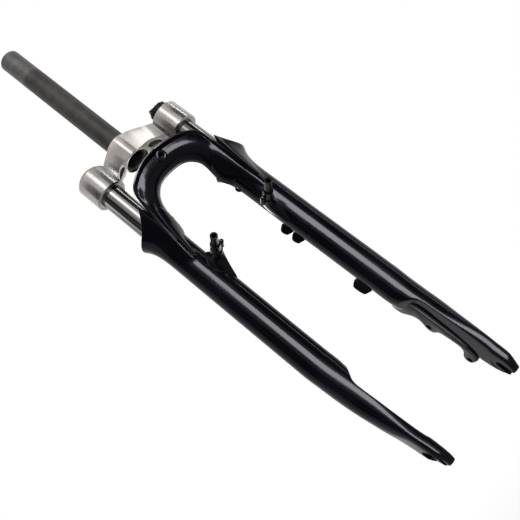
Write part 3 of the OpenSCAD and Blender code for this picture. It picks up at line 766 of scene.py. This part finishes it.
class Finish:
    """A material under construction."""

    def __init__(self, name):
        self.material = bpy.data.materials.new(name)
        self.material.use_nodes = True
        self.tree = self.material.node_tree
        self.tree.nodes.clear()
        self.place = self.make("ShaderNodeTexCoord", out="Object")

    def make(self, kind, settings=None, values=None, out=0):
        """Adds a node: settings first, then the values or links of its inputs. Returns one output."""
        node = self.tree.nodes.new(kind)
        for key, value in (settings or {}).items():
            setattr(node, key, value)
        for key, value in (values or {}).items():
            if isinstance(value, Wave):
                self.tree.links.new(value.socket, node.inputs[key])
            else:
                node.inputs[key].default_value = value
        return Wave(self, node.outputs[out])

    def noise(self, scale, detail=4.0, rough=0.55, stretch=(1, 1, 1)):
        """Cloudy noise, scale in lumps per metre, squeezed along an axis by stretch."""
        spot = self.make("ShaderNodeMapping", {}, {"Vector": self.place, "Scale": stretch})
        values = {"Vector": spot, "Scale": scale, "Detail": detail, "Roughness": rough}
        return self.make("ShaderNodeTexNoise", {}, values)

    def cells(self, scale):
        """Distance to the nearest of many scattered points: small near a point."""
        return self.make("ShaderNodeTexVoronoi", {}, {"Vector": self.place, "Scale": scale})

    def axis(self, letter):
        """One coordinate, in metres."""
        return self.make("ShaderNodeSeparateXYZ", {}, {0: self.place}, out="XYZ".index(letter))

    def blend(self, first, second, share):
        """Colour that goes from first to second with the share."""
        return self.make("ShaderNodeMix", {"data_type": "RGBA"}, {0: share, 6: first, 7: second}, out=2)

    def surface(self, colour, roughness, metallic=0.0, height=None, depth=0.0001, constants=None):
        """Principled shader with an optional bump: height is 0 to 1, depth its full size in metres."""
        values = {"Base Color": colour, "Roughness": roughness, "Metallic": metallic, **(constants or {})}
        if height is not None:
            bump = {"Height": height, "Distance": depth, "Strength": 1.0}
            values["Normal"] = self.make("ShaderNodeBump", {}, bump)
        shader = self.make("ShaderNodeBsdfPrincipled", {}, values)
        self.make_output(shader)
        return self.material

    def make_output(self, shader):
        """Connects the shader to the material's output."""
        node = self.tree.nodes.new("ShaderNodeOutputMaterial")
        self.tree.links.new(shader.socket, node.inputs["Surface"])


def rgb(red, green, blue):
    """Opaque colour."""
    return (red, green, blue, 1.0)


# %% [markdown]
# **Gloss black paint.** Sprayed paint is never flat: it has a faint orange peel, a few dust specks under
# the lacquer and a slight haze where it was handled. The colour is almost black, with a trace of blue.

# %% Paint of the castings


def gloss_paint():
    """Nearly black paint: peel and dust as bump, haze as roughness."""
    f = Finish("gloss_black_paint")
    haze = f.noise(14, 3).step(0.4, 0.7)
    peel = f.noise(260, 1)
    speck = 1 - f.cells(240).step(0.03, 0.07)
    rare = f.noise(60, 1).step(0.6, 0.66)
    dust = speck * rare
    colour = f.blend(rgb(0.003, 0.003, 0.006), rgb(0.006, 0.0055, 0.011), haze)
    colour = f.blend(colour, rgb(0.03, 0.03, 0.034), dust * 0.5)
    rough = 0.15 + haze * 0.06 + dust * 0.2
    return f.surface(colour, rough, 0.0, peel, 0.000004, {"Specular IOR Level": 0.1})


# %% [markdown]
# ** Satin crown.** The crown is forged aluminium, blasted and clear coated: a pale warm metal with a fine
# grain. The **stanchions** are ground and chromed, so they show rings of the grinding wheel only as a
# faint change of gloss, and a film of oil above the seals. Their colour carries lengthwise dark and
# bright stripes: painted reflections of a room around the chrome.

# %% Bright metals


def satin_metal():
    """Warm pale metal: fine blasted grain, slow changes of gloss, thin bands of painted dark reflection."""
    f = Finish("satin_crown_metal")
    cloud = f.noise(35, 4).step(0.35, 0.7)
    grain = f.noise(2600, 2)
    # Painted reflection: thin level bands darken the colour like a dark reflection; they also roughen and
    # raise the surface.
    painted_band_and_mark = f.noise(160, 3, 0.6, (1, 1, 6)).step(0.6, 0.75)
    colour = f.blend(rgb(0.31, 0.29, 0.277), rgb(0.42, 0.396, 0.38), cloud)
    colour = f.blend(colour, rgb(0.16, 0.15, 0.145), painted_band_and_mark * 0.35)
    return f.surface(colour, 0.22 + cloud * 0.06 + painted_band_and_mark * 0.08, 1.0, grain + painted_band_and_mark * 0.5, 0.000003)


def chrome():
    """Bright plating: gloss rings round the tube, oily film near the seals, stripes of painted reflection."""
    f = Finish("chromed_stanchion")
    rings = f.noise(900, 3, 0.5, (0.02, 0.02, 1))
    smear = f.noise(45, 4, 0.6, (1, 1, 0.4)).step(0.45, 0.75)
    # Painted reflection: lengthwise stripes from dark to bright in the colour stand in for the room seen in
    # the chrome.
    painted_reflection_streak = f.noise(150, 2, 0.5, (1, 1, 0.02)).step(0.47, 0.65)
    oil = 1 - f.axis("Z").step((COLLAR_Z + 8) * MM, (COLLAR_Z + 24) * MM)
    colour = f.blend(rgb(0.13, 0.12, 0.116), rgb(0.42, 0.41, 0.40), painted_reflection_streak)
    colour = f.blend(colour, rgb(0.22, 0.21, 0.2), smear * 0.3)
    colour = f.blend(colour, rgb(0.12, 0.105, 0.09), oil * smear * 0.6)
    return f.surface(colour, 0.06 + rings * 0.05 + smear * 0.08 + oil * 0.08, 1.0, rings, 0.000004)


# %% [markdown]
# **Steerer.** Raw steel tube, drawn lengthwise and left dark. The last stretch at the top is rubbed
# brighter where a stem was clamped. Fine lines run along the tube, and the surface is cloudy.

# %% Raw steel tube
BARE_FROM = 0.156


def drawn_steel():
    """Dark brownish steel with lengthwise lines, brighter above the clamp's edge."""
    f = Finish("drawn_steel_tube")
    lines = f.noise(700, 3, 0.6, (1, 1, 0.03))
    cloud = f.noise(60, 5, 0.65).step(0.3, 0.75)
    wobble = f.noise(90, 2) * 0.006
    bare = (f.axis("Z") + wobble).step(BARE_FROM - 0.002, BARE_FROM + 0.005)
    pit = 1 - f.cells(420).step(0.05, 0.25)
    dark = f.blend(rgb(0.04, 0.036, 0.034), rgb(0.085, 0.078, 0.074), cloud)
    light = f.blend(rgb(0.075, 0.071, 0.068), rgb(0.15, 0.145, 0.14), cloud)
    colour = f.blend(dark, light, bare * (0.7 + lines * 0.3))
    rough = 0.42 + cloud * 0.16 - bare * 0.08 + lines * 0.08
    return f.surface(colour, rough, 0.85, lines + cloud - pit * 0.4, 0.00003)


# %% [markdown]
# The smaller pieces follow: black plastic with a moulded grain, rubber that has gathered dust,
# blackened steel posts with turning marks, plain spring steel, bronze bushings, nylon guides and orange
# elastomer bumpers. Most of them are hidden, and each still gets the finish of the real piece.

# %% Plastics and rubber


def moulded_black():
    """Black plastic: fine spark-eroded grain and dull handled patches."""
    f = Finish("moulded_black_plastic")
    grain = f.noise(1800, 2)
    worn = f.noise(120, 3).step(0.5, 0.75)
    colour = f.blend(rgb(0.004, 0.004, 0.0045), rgb(0.01, 0.0095, 0.0095), worn)
    rough = 0.34 + worn * 0.2
    return f.surface(colour, rough, 0.0, grain, 0.00003, {"Specular IOR Level": 0.15})


def seal_rubber():
    """Matt rubber with pale dust in blotches."""
    f = Finish("dust_seal_rubber")
    dust = f.noise(260, 4, 0.65).step(0.5, 0.8)
    colour = f.blend(rgb(0.012, 0.012, 0.012), rgb(0.07, 0.065, 0.06), dust * 0.6)
    return f.surface(colour, 0.62 + dust * 0.2, 0.0, f.noise(1500, 2), 0.00002)


def elastomer():
    """Translucent looking orange rubber with a faint mould bloom."""
    f = Finish("orange_elastomer")
    bloom = f.noise(180, 3).step(0.4, 0.8)
    colour = f.blend(rgb(0.62, 0.27, 0.05), rgb(0.75, 0.42, 0.14), bloom)
    return f.surface(colour, 0.45 + bloom * 0.15, 0.0, bloom, 0.00003)


def nylon():
    """Off-white nylon, slightly cloudy, with turning marks."""
    f = Finish("turned_nylon")
    cloud = f.noise(120, 3)
    turn = f.noise(1500, 2, 0.5, (0.05, 0.05, 1))
    colour = f.blend(rgb(0.66, 0.65, 0.60), rgb(0.78, 0.77, 0.72), cloud)
    return f.surface(colour, 0.4 + cloud * 0.1, 0.0, turn, 0.00002)


# %% Steels and bronze


def turned_metal(name, dark, bright, rough, metallic=1.0):
    """Metal turned on a lathe: fine rings across the axis, and slow stains."""
    f = Finish(name)
    rings = f.noise(1400, 2, 0.5, (0.03, 0.03, 1))
    stain = f.noise(90, 4, 0.6).step(0.35, 0.75)
    colour = f.blend(dark, bright, stain)
    return f.surface(colour, rough + rings * 0.1 + stain * 0.06, metallic, rings, 0.00001)


def spring_wire():
    """Oiled spring steel, drawn lines and a brown tint in places."""
    f = Finish("spring_wire")
    tint = f.noise(200, 3).step(0.45, 0.75)
    colour = f.blend(rgb(0.36, 0.35, 0.34), rgb(0.24, 0.19, 0.14), tint)
    return f.surface(colour, 0.25 + tint * 0.15, 1.0, f.noise(900, 2), 0.00001)


paint, satin, plating, steel = gloss_paint(), satin_metal(), chrome(), drawn_steel()
plastic, rubber, orange, white_nylon = moulded_black(), seal_rubber(), elastomer(), nylon()
black_steel = turned_metal("blackened_post_steel", rgb(0.010, 0.010, 0.011), rgb(0.026, 0.025, 0.025), 0.3)
bronze = turned_metal("bushing_bronze", rgb(0.38, 0.27, 0.13), rgb(0.52, 0.38, 0.20), 0.3)
rod_metal = turned_metal("rod_aluminium", rgb(0.55, 0.55, 0.56), rgb(0.66, 0.66, 0.67), 0.28)
wire = spring_wire()

# %% [markdown]
# ## Hanging the finishes
# Each solid gets one finish by name, and the new pieces get theirs directly.

# %% Hand out the finishes
FINISHES = {
    "steerer_tube": steel, "crown": satin, "stanchion": plating, "lower_casting": paint,
    "brake_post": black_steel, "dust_seal": rubber, "upper_bushing": bronze, "lower_bushing": bronze,
    "end_guide": white_nylon, "travel_rod": rod_metal, "top_out_bumper": orange, "bottom_bumper": orange,
    "main_spring": wire, "spring_seat": rod_metal, "top_cap": plastic, "preload_knob": plastic,
}
for node_name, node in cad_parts.items():
    material = next(value for key, value in FINISHES.items() if node_name.startswith(key))
    node.data.materials.clear()
    node.data.materials.append(material)
new_pieces = {casting: paint, crown: satin, cap_left: plastic, cap_right: plastic, knob: plastic}
for piece, material in new_pieces.items():
    piece.data.materials.clear()
    piece.data.materials.append(material)
print("finishes:", len(set(FINISHES.values())))

# %% [markdown]
# ## Studio
# The photograph was taken on white, from below and ahead of the crown, with a broad light along the
# legs. The camera's place and turn were worked out from the fork's own straight edges: the steerer, the
# two legs and the brake posts.

# %% Camera
CAMERA_PLACE = (-0.19226, -0.59113, -0.39624)
CAMERA_AIM = (math.radians(-17.78), math.radians(-15.28), math.radians(-51.78))
FOCAL_PIXELS, PICTURE_PIXELS, SENSOR_MM = 586.32, 520, 36.0



def direction(azimuth, elevation):
    """Unit vector away from the fork: azimuth 0 is straight ahead of it, elevation 0 is level."""
    ahead = math.cos(elevation)
    return Vector((math.sin(azimuth) * ahead, -math.cos(azimuth) * ahead, math.sin(elevation)))


azimuth, elevation, roll = CAMERA_AIM
back = direction(azimuth, elevation)
level = direction(azimuth + math.pi / 2, 0.0)
upright = back.cross(level)
right = level * math.cos(roll) + upright * math.sin(roll)
up = upright * math.cos(roll) - level * math.sin(roll)
lens = bpy.data.cameras.new("photo_camera")
lens.sensor_width = SENSOR_MM
lens.lens = FOCAL_PIXELS / PICTURE_PIXELS * SENSOR_MM
lens.clip_start = 0.01
camera = bpy.data.objects.new("photo_camera", lens)
camera.matrix_world = Matrix.Translation(CAMERA_PLACE) @ Matrix((right, up, back)).transposed().to_4x4()
bpy.context.scene.collection.objects.link(camera)
bpy.context.scene.camera = camera
print(f"lens {lens.lens:.2f} mm")

# %% [markdown]
# A tall soft lamp ahead of the fork draws the long bright band on the gloss paint, and a second one, high
# up, the sheen on the arch. Both are linked to the painted casting alone, and only mirrors see them:
# nearly black paint needs a strong light to show one, and the bare metal beside it doesn't. Four weak
# lamps light everything from the front, one side, above and behind.

# %% Lamps
TARGET = Vector((0, -0.03, -0.25))
LILAC = (0.93, 0.92, 1.0)


def lamp(name, azimuth_deg, elevation_deg, distance, width, height, power, tint=(1, 1, 1)):
    """A soft rectangular lamp on a sphere round the fork, facing it, its long side upright."""
    away = direction(math.radians(azimuth_deg), math.radians(elevation_deg))
    side = direction(math.radians(azimuth_deg + 90), 0.0)
    light = bpy.data.lights.new(name, "AREA")
    light.shape = "RECTANGLE"
    light.size, light.size_y = width, height
    light.energy = power
    light.color = tint
    holder = bpy.data.objects.new(name, light)
    turn = Matrix((side, away.cross(side), away)).transposed().to_4x4()
    holder.matrix_world = Matrix.Translation(TARGET + away * distance) @ turn
    bpy.context.scene.collection.objects.link(holder)
    return holder


painted = bpy.data.collections.new("painted")
painted.objects.link(casting)
paint_band = lamp("paint_band", -2, 15, 1.5, 0.9, 3.0, 270, LILAC)
arch_sheen = lamp("arch_sheen", -8, 58, 1.5, 1.1, 0.9, 70, LILAC)
for shine in (paint_band, arch_sheen):
    shine.visible_diffuse = False
    shine.light_linking.receiver_collection = painted
lamp("front_soft", -2, 15, 1.5, 0.5, 2.0, 8)
lamp("side_strip", 76, 10, 1.5, 0.12, 1.8, 5)
lamp("from_above", 0, 80, 1.6, 1.6, 1.6, 4)
lamp("back_soft", 165, 15, 1.6, 0.5, 1.8, 8)
print("lamps:", len(bpy.data.lights))

# %% [markdown]
# Polished things show the room around them, and in an all white room they look flat. So, as a
# photographer does, a dark card stands on each side. Only reflections see the cards: they draw the dark
# stripes on the crown and the stanchions, and keep the paint black beside its bright band.

# %% Dark cards


def dark_card(name, azimuth_deg, distance, width, height):
    """An upright card that only reflections see."""
    centre = TARGET + direction(math.radians(azimuth_deg), 0.0) * distance
    half = direction(math.radians(azimuth_deg + 90), 0.0) * (width / 2)
    up = Vector((0.0, 0.0, height / 2))
    corners = [centre - half - up, centre + half - up, centre + half + up, centre - half + up]
    mesh = bpy.data.meshes.new(name)
    mesh.from_pydata(corners, [], [(0, 1, 2, 3)])
    f = Finish(name)
    mesh.materials.append(f.surface(rgb(0.2, 0.2, 0.21), 1.0, constants={"Specular IOR Level": 0.0}))
    card = bpy.data.objects.new(name, mesh)
    card.visible_camera = False
    card.visible_diffuse = False
    card.visible_shadow = False
    bpy.context.scene.collection.objects.link(card)


dark_card("card_right", 62, 1.8, 1.8, 3.0)
dark_card("card_left", -70, 1.8, 1.8, 3.0)

# %% [markdown]
# The world is white to the camera, to reflections and to light that passes through, and a dimmer, cooler
# white to everything else. So the background is pure white, and the light on the fork stays plain.

# %% World
world = bpy.data.worlds.new("studio")
world.use_nodes = True
bpy.context.scene.world = world
nodes, links = world.node_tree.nodes, world.node_tree.links
nodes.clear()
path = nodes.new("ShaderNodeLightPath")


def either(first, second):
    """Larger of two sockets: 1 where one of two kinds of ray is meant."""
    node = nodes.new("ShaderNodeMath")
    node.operation = "MAXIMUM"
    links.new(first, node.inputs[0])
    links.new(second, node.inputs[1])
    return node.outputs[0]


def background(colour, strength):
    """World light of one colour."""
    node = nodes.new("ShaderNodeBackground")
    node.inputs["Color"].default_value = colour
    node.inputs["Strength"].default_value = strength
    return node.outputs[0]


seen = either(either(path.outputs["Is Camera Ray"], path.outputs["Is Glossy Ray"]),
              path.outputs["Is Transmission Ray"])
choose = nodes.new("ShaderNodeMixShader")
links.new(seen, choose.inputs[0])
links.new(background(rgb(0.9, 0.95, 1.0), 0.28), choose.inputs[1])
links.new(background(rgb(1, 1, 1), 1.0), choose.inputs[2])
links.new(choose.outputs[0], nodes.new("ShaderNodeOutputWorld").inputs["Surface"])
bpy.context.scene.view_settings.view_transform = "Standard"
print("world nodes:", len(nodes))

# %% [markdown]
# The floor is plain and pale and lies under the fork. It glows a little for the camera, so that it fades
# into the white background, and keeps the fork's faint shadow. Seen from below it is clear, as the
# photograph's view is from below.

# %% Floor
FLOOR_DROP, FLOOR_HALF = 0.3, 1.5
floor_z = cad_box[0].z - FLOOR_DROP
floor_mesh = bpy.data.meshes.new("floor")
corners = [(x * FLOOR_HALF, y * FLOOR_HALF, floor_z) for x, y in ((-1, -1), (1, -1), (1, 1), (-1, 1))]
floor_mesh.from_pydata(corners, [], [(0, 1, 2, 3)])
floor = bpy.data.objects.new("floor", floor_mesh)
bpy.context.scene.collection.objects.link(floor)
f = Finish("pale_floor")
rays = f.make("ShaderNodeLightPath", out="Is Camera Ray")
below = f.make("ShaderNodeNewGeometry", out="Backfacing")
matt = f.make("ShaderNodeBsdfDiffuse", {}, {"Color": rgb(0.86, 0.86, 0.86)})
shine = f.make("ShaderNodeEmission", {}, {"Color": rgb(1, 1, 1), "Strength": 1.0})
away = (f.axis("X") ** 2.0 + f.axis("Y") ** 2.0) ** 0.5
clear = f.make("ShaderNodeBsdfTransparent")
top = f.make("ShaderNodeMixShader", {}, {0: rays * away.step(0.35, 1.1, 0.75, 1.0), 1: matt, 2: shine})
f.make_output(f.make("ShaderNodeMixShader", {}, {0: below, 1: top, 2: clear}))
floor.data.materials.append(f.material)
print(f"floor at {floor_z:.3f} m")

# %% [markdown]
# ## Finish
# The box of the solids is printed.

# %% Print the box of the solids
print("cad", [round(v, 4) for corner in cad_box for v in corner])
